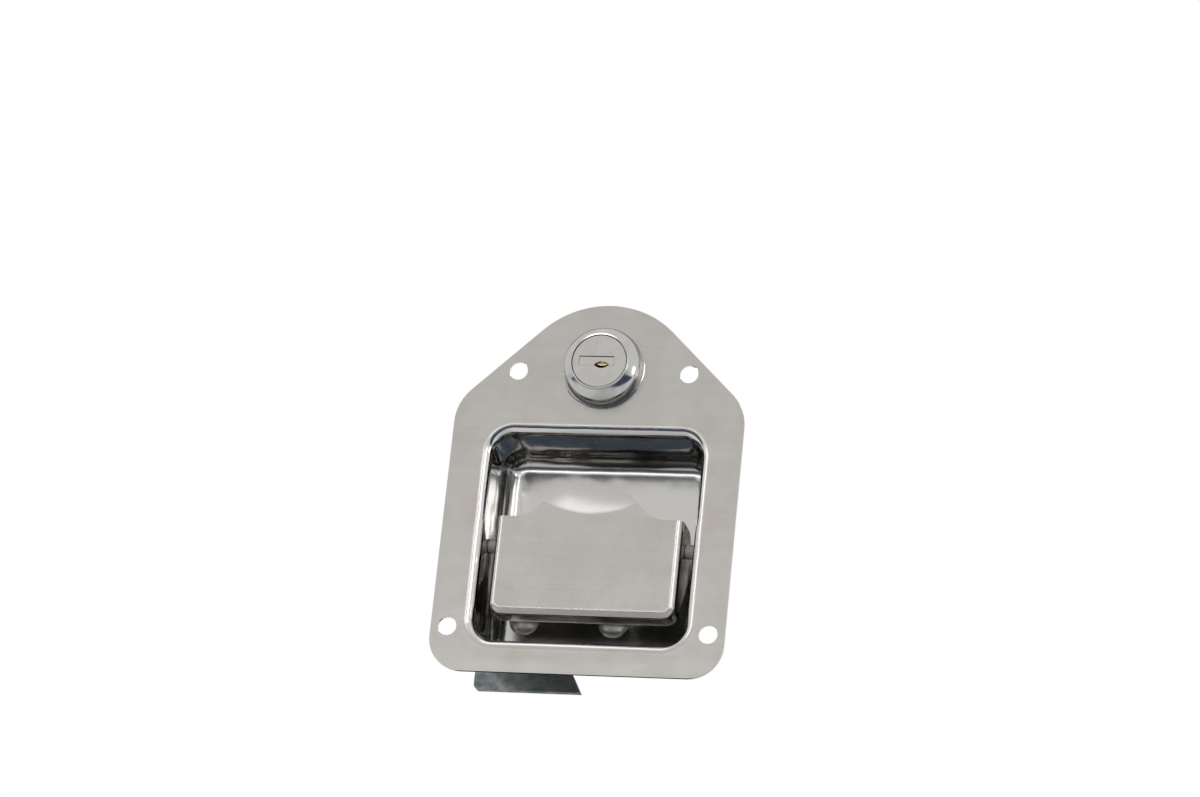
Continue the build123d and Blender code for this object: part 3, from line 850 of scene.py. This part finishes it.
@dataclass
class PanGroup:
    """Plate with its drawn pan, the hinge across it and the rivets through its floor."""

    frame: Frame
    finishes: Finishes
    half_width: float = OPENING[0]
    half_height: float = OPENING[1]
    corner: float = OPENING[2]
    sheet: float = 1.2 * MM
    draft: float = math.radians(2.0)
    lip: float = 4.0 * MM
    heel: float = 6.0 * MM
    margin: float = 0.8 * MM
    lift: float = 0.025 * MM
    bury: float = 0.45 * MM
    sink: float = 0.25 * MM
    near: float = 0.06 * MM
    bend_points: int = 26
    wall_points: int = 12
    side_points: int = 36

    def bends(self) -> tuple[np.ndarray, np.ndarray, float, float]:
        """Centres of the two bends in a cut across the wall, as (distance outwards, depth).

        The wall leans in by the draft from the opening's edge. The lip's centre is one lip radius from the face and
        from the wall, inside the metal, and the heel's centre is one heel radius from the floor and from the wall,
        inside the pan.

        Returns:
            The lip's centre, the heel's centre, and the depths of the face and of the floor.
        """
        face = float(self.frame.low("pan_plate")[1])
        floor = float(self.frame.high("pan_plate")[1]) - self.sheet
        slope, level = math.tan(self.draft), 1.0 / math.cos(self.draft)
        lip = np.array([self.lip * level - slope * self.lip, face + self.lip])
        heel = np.array([-slope * (floor - self.heel - face) - self.heel * level, floor - self.heel])
        return lip, heel, face, floor

    def skin(self) -> bpy.types.Object:
        """Smooth inner skin of the pan, from the face over the lip and down the wall to the floor.

        In a cut across the wall, a way out of the metal turns from the front to the inside. The lip is its centre
        plus the radius times that way, and the heel is its centre less it. The front line stands a hair out of the
        metal and the back line lies inside it, so the loop closes, and it is carried round the opening.

        Returns:
            The skin.
        """
        lip, heel, face, floor = self.bends()
        turn = np.linspace(0.0, np.pi / 2 - self.draft, self.bend_points)
        out = -np.stack([np.sin(turn), np.cos(turn)], axis=-1)
        shares = np.linspace(0.0, 1.0, self.wall_points + 2)[1:-1, None]
        upper, lower = lip + self.lip * out, (heel - self.heel * out)[::-1]
        wall = upper[-1] + shares * (lower[0] - upper[-1])
        line = np.concatenate([[(lip[0] + self.margin, face)], upper, wall, lower, [(heel[0] - self.margin, floor)]])
        ways = np.concatenate([out[:1], out, np.repeat(out[-1:], len(wall), axis=0), out[::-1], out[:1]])
        loop = np.concatenate([line + self.lift * ways, (line - self.bury * ways)[::-1]])
        cores, around = rounded_outline(
            self.half_width, self.half_height, self.corner, self.side_points, self.bend_points
        )
        flat = cores[:, None] + (self.corner + loop[None, :, 0])[..., None] * around[:, None]
        depth = np.broadcast_to(loop[None, :, 1], flat.shape[:2])
        piece = grid_mesh("pan_skin", np.stack([flat[..., 0], depth, flat[..., 1]], axis=-1), True, True)
        tidy(piece, 40.0)
        return piece

    def sinking(self, cut: np.ndarray) -> np.ndarray:
        """How far points of the plate's inner surface go into the metal, in a cut across the wall.

        A point is on the lip or the heel if it is one radius from that bend's centre and in its quarter, and on
        the wall if it is on the wall's line. Other points stay.

        Args:
            cut: distances outwards from the opening and depths, of shape (n, 2).

        Returns:
            The moves, of shape (n, 2), to be taken off.
        """
        lip, heel, face, floor = self.bends()
        away, depth = cut[:, 0], cut[:, 1]
        from_lip, from_heel = cut - lip, heel - cut
        lip_length = np.linalg.norm(from_lip, axis=1, keepdims=True)
        heel_length = np.linalg.norm(from_heel, axis=1, keepdims=True)
        on_lip = (np.abs(lip_length[:, 0] - self.lip) < self.near) & (away < lip[0]) & (depth < lip[1])
        on_heel = (np.abs(heel_length[:, 0] - self.heel) < self.near) & (away > heel[0]) & (depth > heel[1])
        on_wall = np.abs(away + math.tan(self.draft) * (depth - face)) < self.near
        between = (depth > face + self.near) & (depth < floor - self.near)
        way = np.where(on_heel[:, None], from_heel / heel_length, (-math.cos(self.draft), -math.sin(self.draft)))
        way = np.where(on_lip[:, None], from_lip / lip_length, way)
        return (between & (on_wall | on_lip | on_heel))[:, None] * self.sink * way

    def sink_wall(self, piece: bpy.types.Object) -> None:
        """Sets the plate's own lip, wall and heel a little deeper into the metal, under the skin.

        A point's way outwards from the opening is what is left of |x| and |z| beyond the corner circles' centres,
        and its distance is that way's length less the corners' radius.

        Args:
            piece: the plate.
        """
        points = read_rows(piece.data.vertices, "co").astype(float)
        flat = points[:, [0, 2]]
        beyond = np.maximum(np.abs(flat) - (self.half_width - self.corner, self.half_height - self.corner), 0.0)
        length = np.linalg.norm(beyond, axis=1)
        around = np.sign(flat) * beyond / np.maximum(length, 1e-9)[:, None]
        move = self.sinking(np.stack([length - self.corner, points[:, 1]], axis=-1)) * (length > 0)[:, None]
        points[:, [0, 2]] -= move[:, :1] * around
        points[:, 1] -= move[:, 1]
        piece.data.vertices.foreach_set("co", points.astype(np.float32).reshape(-1))
        piece.data.update()
        LOG.info("%d points of the plate lie under the skin", int(np.any(move != 0.0, axis=1).sum()))

    def build(self) -> None:
        """Makes the group's pieces."""
        steel, wire = self.finishes.rivet, self.finishes.wire
        sheet = self.finishes.sheet
        plate = self.frame.stand_in("pan_plate", "drawn_plate", Body.FRAME, Slot.STAINLESS, sheet, 30.0)
        self.sink_wall(plate)
        settle(self.skin(), sheet, Body.FRAME)
        self.frame.stand_in("hinge_pin", "pin", Body.FRAME, Slot.STAINLESS, steel)
        self.frame.stand_in("pin_clip", "clip", Body.FRAME, Slot.SPRING, wire)
        self.frame.stand_in("hinge_bushes", "bushes", Body.FRAME, Slot.NYLON, self.finishes.nylon)
        self.frame.stand_in("catch_pivot_rivet", "left_rivet", Body.FRAME, Slot.STAINLESS, steel, 50.0)
        self.frame.stand_in("keeper_rivet", "right_rivet", Body.FRAME, Slot.STAINLESS, steel, 50.0)


@dataclass
class PaddleGroup:
    """Pressed paddle with the arm welded to its back and the spring round its pin."""

    frame: Frame
    finishes: Finishes
    wire: float = 0.6 * MM
    turns: int = 5
    turn_points: int = 28
    leg_points: int = 12
    bead: float = 0.95 * MM
    ripple: float = 0.16 * MM
    ripple_pitch: float = 1.1 * MM
    ripple_lag: float = 0.35 * MM
    weld_depth: float = 0.15 * MM
    weld_ends: tuple[float, float] = (0.4 * MM, 3.6 * MM)
    weld_tip: float = 0.98
    weld_middle: float = 0.02
    weld_points: tuple[int, int] = (90, 16)
    scoop_ball: float = 95.0 * MM
    scoop_edge: float = 39.0 * MM
    scoop_low: float = 9.6 * MM
    ball_near: float = 0.03 * MM
    face_near: float = 0.02 * MM
    to_front: float = -0.5
    upwards: float = 0.05

    def shade_face(self, piece: bpy.types.Object) -> None:
        """Gives the paddle's flat face and its scoop their exact directions, with a crisp line between them.

        On the flat, and where a bend runs into it, the direction is straight out to the front. In the scoop it is
        the way from the surface to the middle of the scoop's ball, which lies in front of the paddle, above it.

        Args:
            piece: the paddle.
        """
        mesh = piece.data
        piece.modifiers.clear()
        face = float(self.frame.low("paddle")[1])
        middle = np.array(
            [0.0, face - math.sqrt(self.scoop_ball**2 - self.scoop_edge**2), self.scoop_low + self.scoop_edge]
        )
        points, outwards = read_rows(mesh.vertices, "co"), read_rows(mesh.polygons, "normal")
        corners, sizes = read_rows(mesh.loops, "vertex_index", True), read_rows(mesh.polygons, "loop_total", True)
        shading = read_rows(mesh.corner_normals, "vector")
        owner = np.repeat(np.arange(len(sizes)), sizes)
        away = np.linalg.norm(points - middle, axis=1)
        on_ball = np.abs(away - self.scoop_ball) < self.ball_near
        dished = np.minimum.reduceat(on_ball[corners].astype(int), np.cumsum(sizes) - sizes) > 0
        to_front = outwards[:, 1] < self.to_front
        dished &= to_front & (outwards[:, 2] > self.upwards)
        in_scoop = dished[owner]
        level = (np.abs(points[corners, 1] - face) < self.face_near) & to_front[owner] & ~in_scoop
        shading[level] = (0.0, -1.0, 0.0)
        towards = (middle - points[corners]) / away[corners, None]
        shading[in_scoop] = towards[in_scoop]
        mesh.normals_split_custom_set([tuple(row) for row in shading.tolist()])
        LOG.info("scoop shades %d faces", int(dished.sum()))

    def weld(self, name: str, side: int) -> bpy.types.Object:
        """Weld bead down one side of the arm's foot.

        The bead is a tube along Z whose radius swells and shrinks with a cosine, once for each ripple. It is
        multiplied by the root of one less an eighth power of the way from the middle, so it falls to a seventh at
        both ends, and tidy fills the holes that are left.

        Args:
            name: the piece's name.
            side: -1 for the left bead and 1 for the right one.

        Returns:
            The bead.
        """
        low, high = self.frame.low("push_arm"), self.frame.high("push_arm")
        z = np.linspace(low[2] + self.weld_ends[0], high[2] - self.weld_ends[1], self.weld_points[0])
        out = np.abs(2 * (z - z[0]) / (z[-1] - z[0]) - 1)
        out = np.clip(out * (1 + self.weld_middle) - self.weld_middle, 0, 1)
        taper = np.sqrt(1.0 - out**8 * self.weld_tip)
        radius = (self.bead + self.ripple * np.cos(2 * np.pi * z / self.ripple_pitch)) * taper
        turn = np.linspace(0, 2 * np.pi, self.weld_points[1], endpoint=False)
        x = (low[0] if side < 0 else high[0]) + radius[:, None] * np.cos(turn)
        y = low[1] + self.weld_depth + radius[:, None] * np.sin(turn)
        lag = self.ripple_lag * np.sin(turn)[None, :]
        points = np.stack([x, y, z[:, None] + lag], axis=-1)
        piece = grid_mesh(name, points, False, True)
        tidy(piece, 60.0)
        return piece

    def spring(self) -> bpy.types.Object:
        """Torsion spring: a leg to the paddle's back, a coil round the pin and a leg to the pan's floor.

        The coil is a helix along X: with an angle a, its point is the radius times (cos a, sin a) across the pin,
        and it moves along by one pitch for each turn.

        Returns:
            The spring.
        """
        axis = self.frame.pivot("paddle_hinge")
        low, high = self.frame.low("paddle_spring"), self.frame.high("paddle_spring")
        radius = high[2] - axis[2] - self.wire
        start, end = low[0] + self.wire, high[0] - self.wire
        turn = np.linspace(0.0, 2 * np.pi * self.turns, self.turns * self.turn_points + 1)
        x = start + (end - start) * turn / turn[-1]
        coil = np.stack([x, axis[1] - radius * np.sin(turn), axis[2] + radius * np.cos(turn)], axis=-1)
        front = np.linspace((start, low[1] + self.wire, coil[0, 2]), coil[0], self.leg_points)[:-1]
        back = np.linspace(coil[-1], (end, high[1] - self.wire, coil[-1, 2]), self.leg_points)[1:]
        return tube("paddle_coil", np.concatenate([front, coil, back]), self.wire)

    def build(self) -> None:
        """Makes the group's pieces."""
        face = self.frame.stand_in("paddle", "pressed_face", Body.PADDLE, Slot.STAINLESS, self.finishes.paddle, 30.0)
        self.shade_face(face)
        self.frame.stand_in("push_arm", "arm", Body.PADDLE, Slot.ZINC, self.finishes.zinc)
        for side, name in ((-1, "weld_left"), (1, "weld_right")):
            settle(self.weld(name, side), self.finishes.rivet, Body.PADDLE)
        _, depth, height = self.frame.pivot("paddle_hinge")
        left = self.frame.low("paddle_spring")[0] + 2 * self.wire
        right = self.frame.high("paddle_spring")[0] - 2 * self.wire
        wind(self.spring(), self.finishes.wire, "paddle_spring", Body.PADDLE)


@dataclass
class CatchGroup:
    """Hooked catch with its strap, spacer and return spring."""

    frame: Frame
    finishes: Finishes
    wire: float = 0.45 * MM
    turns: int = 9
    turn_points: int = 28
    hook: float = 4.0 * MM
    hook_bend: float = 1.2 * MM
    held: float = 3.0 * MM
    play: float = 0.1 * MM

    def spring(self) -> bpy.types.Object:
        """Extension spring: a hook through the strap's ear, a coil and a hook through the catch's tail.

        The coil is a helix along Z, which starts and ends on its front side, where the hooks leave it.

        Returns:
            The spring.
        """
        low, high = self.frame.low("catch_spring"), self.frame.high("catch_spring")
        middle = (low[0] + high[0]) / 2
        radius = (high[0] - low[0]) / 2 - self.wire
        depth = high[1] - radius - self.wire
        bottom, top = low[2] + self.wire, high[2] - self.wire
        turn = np.linspace(0.0, 2 * np.pi * self.turns, self.turns * self.turn_points + 1)
        z = bottom + self.hook + (top - bottom - 2 * self.hook) * turn / turn[-1]
        coil = np.stack([middle - radius * np.sin(turn), depth - radius * np.cos(turn), z], axis=-1)
        strap = self.frame.low("keeper_strap")[1] - self.play
        catch = low[1] + self.play
        bend = depth - radius
        lower = np.array([(middle, strap, bottom), (middle, bend, bottom), tuple(coil[0])])
        upper = np.array([tuple(coil[-1]), (middle, bend, top), (middle, catch, top)])
        ends = [rounded_path(corners, self.hook_bend) for corners in (lower, upper)]
        return tube("catch_coil", np.concatenate([ends[0][:-1], coil, ends[1][1:]]), self.wire)

    def build(self) -> None:
        """Makes the group's pieces."""
        zinc = self.finishes.zinc
        self.frame.stand_in("catch_plate", "hook", Body.CATCH, Slot.ZINC, zinc)
        self.frame.stand_in("keeper_strap", "strap", Body.FRAME, Slot.ZINC, zinc)
        self.frame.stand_in("keeper_spacer", "spacer", Body.FRAME, Slot.ZINC, zinc)
        low, high = self.frame.low("catch_spring"), self.frame.high("catch_spring")
        wind(self.spring(), self.finishes.wire, "catch_spring", Body.CATCH)


@dataclass
class LockGroup:
    """Key lock: domed housing with a threaded barrel, its nut, plug, wafers, shutter and cam."""

    frame: Frame
    finishes: Finishes
    foot: float = 0.7 * MM
    spread: float = 0.8 * MM
    toe: float = 0.25 * MM
    bulge: float = 1.25 * MM
    rim: float = 0.75 * MM
    rim_drop: float = 0.42 * MM
    rim_arc: float = 1.0208
    rim_round: tuple[float, float] = (0.55 * MM, 0.44 * MM)
    soft_edge: float = 0.15 * MM
    barrel_bevel: tuple[float, float] = (0.6 * MM, 0.5 * MM)
    pocket: float = 10.6 * MM
    pocket_depth: float = 4.9 * MM
    core: float = 6.55 * MM
    barrel: float = 9.4 * MM
    flat: float = 8.2 * MM
    thread_depth: float = 0.5 * MM
    thread_pitch: float = 1.5 * MM
    thread_start: float = 0.6 * MM
    around: int = 144
    flank_points: int = 36
    rim_points: int = 7
    barrel_points: int = 220
    tongue_share: float = 0.66
    tongue_width: float = 4.6 * MM
    tongue_height: float = 1.9 * MM
    tongue_thickness: float = 0.2 * MM
    tongue_drop: float = 0.55 * MM
    tongue_gap: float = 0.12 * MM
    tongue_bow: float = 0.1 * MM
    tongue_middle: float = 0.02
    tongue_points: tuple[int, int] = (48, 9)
    groove_depth: float = 0.12 * MM
    groove_place: float = 0.1
    groove_width: float = 0.16

    def profile(self, front: float, plate: float, back: float, radius: float) -> tuple[np.ndarray, int]:
        """Half section of the housing, as (radius, depth) points in a closed loop.

        The foot is straight. The flank runs from it to the rim along a straight line, bowed outwards by half a
        wave of a sine, and a part of an ellipse turns the rim towards the pocket, cut off at the dome's foremost
        depth. The pocket and the core's bore follow, and the barrel closes the loop.

        Args:
            front: depth of the dome's foremost point.
            plate: depth of the plate's face.
            back: depth of the barrel's end.
            radius: radius of the foot.

        Returns:
            The points, and the number of the first one on the barrel.
        """
        start = np.array([radius - self.toe, plate - self.foot])
        end = np.array([self.pocket + self.rim, front + self.rim_drop])
        chord = end - start
        out = np.array([-chord[1], chord[0]]) / np.linalg.norm(chord)
        share = np.linspace(0.0, 1.0, self.flank_points)[:, None]
        dome = start + share * chord + self.bulge * np.sin(np.pi * share) * out
        swing = np.linspace(0.0, self.rim_arc, self.rim_points)
        shoulder = end - np.array(self.rim_round) * np.stack([1 - np.cos(swing), np.sin(swing)], axis=-1)
        shoulder[:, 1] = np.maximum(shoulder[:, 1], front)
        inner = np.array(
            [
                (self.pocket, front + self.soft_edge),
                (self.pocket, front + self.pocket_depth),
                (self.core, front + self.pocket_depth),
                (self.core, back),
                (self.barrel - self.barrel_bevel[0], back),
            ]
        )
        root = np.array([(radius, plate), (radius, plate - self.foot + self.soft_edge)])
        length = np.linspace(back - self.barrel_bevel[1], plate, self.barrel_points)
        barrel = np.stack([np.full_like(length, self.barrel), length], axis=-1)
        head = np.concatenate([root, dome, shoulder, inner])
        return np.concatenate([head, barrel]), len(head)

    def housing(self) -> bpy.types.Object:
        """Dome and barrel in one surface: the half section turned about the lock's axis.

        On the barrel, the radius falls by the thread's depth as a raised cosine of the depth less a turn's share.
        The thread grows to that over its first turn. The radius is then held under the flat's distance divided by
        the cosine of the angle.

        Returns:
            The housing.
        """
        low, high = self.frame.low("lock_housing"), self.frame.high("lock_housing")
        centre = (low + high) / 2
        plate = float(self.frame.low("pan_plate")[1])
        points, first = self.profile(low[1], plate, high[1], (high[0] - low[0]) / 2 + self.spread)
        turn = np.linspace(0.0, 2 * np.pi, self.around, endpoint=False)
        radius = np.repeat(points[:, :1], self.around, axis=1)
        depth = np.repeat(points[:, 1:], self.around, axis=1)
        phase = 2 * np.pi * depth[first:] / self.thread_pitch - turn[None, :]
        fade = np.clip((depth[first:] - self.thread_start) / self.thread_pitch, 0, 1)
        cut = radius[first:] - fade * self.thread_depth * (0.5 - 0.5 * np.cos(phase))
        radius[first:] = np.minimum(cut, self.flat / np.maximum(np.abs(np.cos(turn)), 1e-6))
        shape = np.stack([centre[0] + radius * np.cos(turn), depth, centre[2] + radius * np.sin(turn)], axis=-1)
        piece = grid_mesh("domed_housing", shape, True, True)
        tidy(piece, 32.0, 1e-7)
        return piece

    def tongue(self) -> bpy.types.Object:
        """Brass tongue behind the key opening: a bowed oval with a groove, which swings with the shutter.

        Its radius goes round an ellipse, and it bows forward with one minus the square of the share of that
        radius. The groove goes across its front as a bell curve. A second layer one thickness behind closes it.

        Returns:
            The tongue.
        """
        low, high = self.frame.low("dust_shutter"), self.frame.high("dust_shutter")
        across = low[0] + self.tongue_share * (high[0] - low[0])
        up = (low[2] + high[2]) / 2 - self.tongue_drop
        turn = np.linspace(0.0, 2 * np.pi, self.tongue_points[0], endpoint=False)
        outwards = np.linspace(self.tongue_middle, 1.0, self.tongue_points[1])
        share = np.concatenate([outwards, outwards[::-1]])[:, None]
        front = (np.arange(len(share)) < len(outwards))[:, None]
        groove = self.groove_depth * np.exp(-(((share * np.sin(turn) - self.groove_place) / self.groove_width) ** 2))
        x = across + self.tongue_width / 2 * share * np.cos(turn)
        z = up + self.tongue_height / 2 * share * np.sin(turn)
        y = high[1] + self.tongue_gap - self.tongue_bow * (1.0 - share**2)
        y = y + np.where(front, groove, self.tongue_thickness)
        piece = grid_mesh("key_tongue", np.stack([x, y, z], axis=-1), False, True)
        tidy(piece, 60.0)
        return piece

    def build(self) -> None:
        """Makes the group's pieces."""
        frame, zinc = self.frame, self.finishes.zinc
        settle(self.tongue(), self.finishes.brass, Body.SHUTTER)
        settle(self.housing(), self.finishes.dome, Body.FRAME, ("lock_housing",))
        frame.stand_in("lock_nut", "nut", Body.FRAME, Slot.ZINC, zinc, 25.0)
        frame.stand_in("lock_washer", "tooth_washer", Body.FRAME, Slot.ZINC, zinc)
        frame.stand_in("lock_plug", "turning_plug", Body.PLUG, Slot.PLUG, self.finishes.plug, 30.0)
        frame.stand_in("lock_wafers", "tumblers", Body.PLUG, Slot.BRASS, self.finishes.brass)
        frame.stand_in("dust_shutter", "key_shutter", Body.SHUTTER, Slot.PLUG, self.finishes.plug)
        frame.stand_in("lock_cam", "cam", Body.PLUG, Slot.ZINC, zinc)
        frame.stand_in("cam_washer", "flat_washer", Body.PLUG, Slot.ZINC, zinc)
        frame.stand_in("cam_screw", "cross_screw", Body.PLUG, Slot.ZINC, zinc)


# ---- studio --------------------------------------------------------------------------------------------------


def flat_card(name: str, corners: np.ndarray, material: bpy.types.Material) -> bpy.types.Object:
    """Flat card with four corners.

    Args:
        name: the object's name.
        corners: its corners in order, of shape (4, 3).
        material: its material.

    Returns:
        The card.
    """
    mesh = bpy.data.meshes.new(name)
    mesh.from_pydata(corners.tolist(), [], [(0, 1, 2, 3)])
    mesh.materials.append(material)
    return stand_up(name, mesh)


@dataclass(frozen=True)
class Lamp:
    """A soft rectangular lamp that faces a point of the latch."""

    name: str
    place: Triple
    width: float
    height: float
    power: float
    aim: Triple = (0.0, 0.0, 0.02)

    def build(self) -> None:
        """Makes the lamp."""
        data = bpy.data.lights.new(self.name, "AREA")
        data.shape = "RECTANGLE"
        data.size, data.size_y, data.energy = self.width, self.height, self.power
        lamp = stand_up(self.name, data)
        lamp.location = self.place
        lamp.rotation_euler = (Vector(self.aim) - Vector(self.place)).to_track_quat("-Z", "Y").to_euler()


@dataclass(frozen=True)
class Flag:
    """A dark card that only shows in the latch's bright metal."""

    name: str
    place: Triple
    facing: Triple
    width: float
    height: float
    tone: Colour = (0.060, 0.092, 0.140)

    def build(self) -> None:
        """Makes the card."""
        facing = Vector(self.facing).to_track_quat("Z", "Y").to_matrix()
        corners = np.array(SQUARE) * (self.width / 2, self.height / 2, 1.0)
        material, tree, surface = bare_material(self.name)
        glow = tree.nodes.new("ShaderNodeEmission")
        glow.inputs["Color"].default_value = (*self.tone, 1.0)
        tree.links.new(glow.outputs[0], surface)
        card = flat_card(self.name, corners @ np.array(facing).T + np.array(self.place), material)
        card.visible_camera = card.visible_diffuse = card.visible_shadow = False
        card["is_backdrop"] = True


@dataclass
class Studio:
    """Pale floor, white surroundings, soft lamps, a dark card and the camera."""

    lowest: float
    eye: Triple = (0.3773, -1.5391, -0.5125)
    look_at: Triple = (-0.0006, 0.0, 0.0549)
    roll: float = 5.97
    lens: float = 135.0
    sensor: float = 36.0
    dim: float = 0.80
    reach: float = 3.0
    pale: float = 0.86
    lamps: tuple[Lamp, ...] = (
        Lamp("key", (-0.24, -0.42, 1.15), 0.55, 0.36, 0.55),
        Lamp("rim", (1.20, -0.28, 0.16), 0.22, 0.30, 1.4),
        Lamp("strip", (-0.25, -1.05, 0.03), 1.2, 0.08, 1.2),
        Lamp("left", (-1.00, -0.75, 0.42), 0.25, 0.7, 1.5),
        Lamp("corner", (0.80, -0.80, 0.38), 0.22, 0.5, 1.2),
        Lamp("side", (0.40, -1.15, 0.45), 0.22, 0.4, 0.8),
        Lamp("back", (-0.5, 1.2, 0.7), 0.8, 0.8, 9.0),
    )
    flags: tuple[Flag, ...] = (Flag("dark_mat", (0.0, -0.31, -0.050), (0.0, 0.0, 1.0), 1.4, 0.42),)

    def world(self) -> None:
        """Surroundings: white to the eye, to metal and to glass, and dimmer as a light."""
        world = bpy.data.worlds.new("surroundings")
        bpy.context.scene.world = world
        world.use_nodes = True
        tree = world.node_tree
        tree.nodes.clear()
        path = tree.nodes.new("ShaderNodeLightPath")
        seen = path.outputs["Is Camera Ray"]
        for ray in ("Is Glossy Ray", "Is Transmission Ray"):
            either = tree.nodes.new("ShaderNodeMath")
            either.operation = "MAXIMUM"
            tree.links.new(seen, either.inputs[0])
            tree.links.new(path.outputs[ray], either.inputs[1])
            seen = either.outputs[0]
        strength = tree.nodes.new("ShaderNodeMapRange")
        tree.links.new(seen, strength.inputs["Value"])
        strength.inputs["To Min"].default_value = self.dim
        strength.inputs["To Max"].default_value = 1.0
        ground = tree.nodes.new("ShaderNodeBackground")
        ground.inputs["Color"].default_value = WHITE
        tree.links.new(strength.outputs["Result"], ground.inputs["Strength"])
        output = tree.nodes.new("ShaderNodeOutputWorld")
        tree.links.new(ground.outputs[0], output.inputs["Surface"])

    def floor(self) -> None:
        """Pale floor under the plate's lower edge, which lets the eye through from below."""
        material, tree, surface = bare_material("floor")
        pale = tree.nodes.new("ShaderNodeBsdfDiffuse")
        pale.inputs["Color"].default_value = (self.pale, self.pale, self.pale, 1.0)
        clear = tree.nodes.new("ShaderNodeBsdfTransparent")
        side = tree.nodes.new("ShaderNodeNewGeometry")
        mix = tree.nodes.new("ShaderNodeMixShader")
        for number, socket in enumerate((side.outputs["Backfacing"], pale.outputs[0], clear.outputs[0])):
            tree.links.new(socket, mix.inputs[number])
        tree.links.new(mix.outputs[0], surface)
        floor = flat_card("floor", np.array(SQUARE) * self.reach + (0.0, 0.0, self.lowest), material)
        floor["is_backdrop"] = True

    def camera(self) -> None:
        """Camera below the latch and to its right, turned a little about its own axis."""
        data = bpy.data.cameras.new("camera")
        data.lens, data.sensor_width = self.lens, self.sensor
        camera = stand_up("camera", data)
        aim = (Vector(self.look_at) - Vector(self.eye)).to_track_quat("-Z", "Y").to_matrix()
        camera.matrix_world = Matrix.Translation(self.eye) @ (
            aim @ Matrix.Rotation(math.radians(self.roll), 3, "Z")
        ).to_4x4()
        bpy.context.scene.camera = camera

    def build(self) -> None:
        """Makes the studio."""
        self.world()
        self.floor()
        for thing in (*self.lamps, *self.flags):
            thing.build()
        self.camera()
        bpy.context.scene.view_settings.view_transform = "Standard"


def corners_of(box: tuple[Vector, Vector]) -> list[list[float]]:
    """A box as plain lists of numbers."""
    return [list(box[0]), list(box[1])]


def main() -> None:
    """Builds the latch and its studio, and sets the floor at the lowest point of the imported model."""
    logging.basicConfig(level=logging.INFO, format="%(name)s: %(message)s")
    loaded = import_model()
    cad_box = corners_of(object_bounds())
    frame = Frame(loaded["nodes"], {j["name"]: j for j in loaded["joints"]})
    finishes = Finishes()
    for group in (PanGroup, PaddleGroup, CatchGroup, LockGroup):
        group(frame, finishes).build()
    Studio(lowest=cad_box[0][2]).build()


if __name__ == "__main__":
    main()
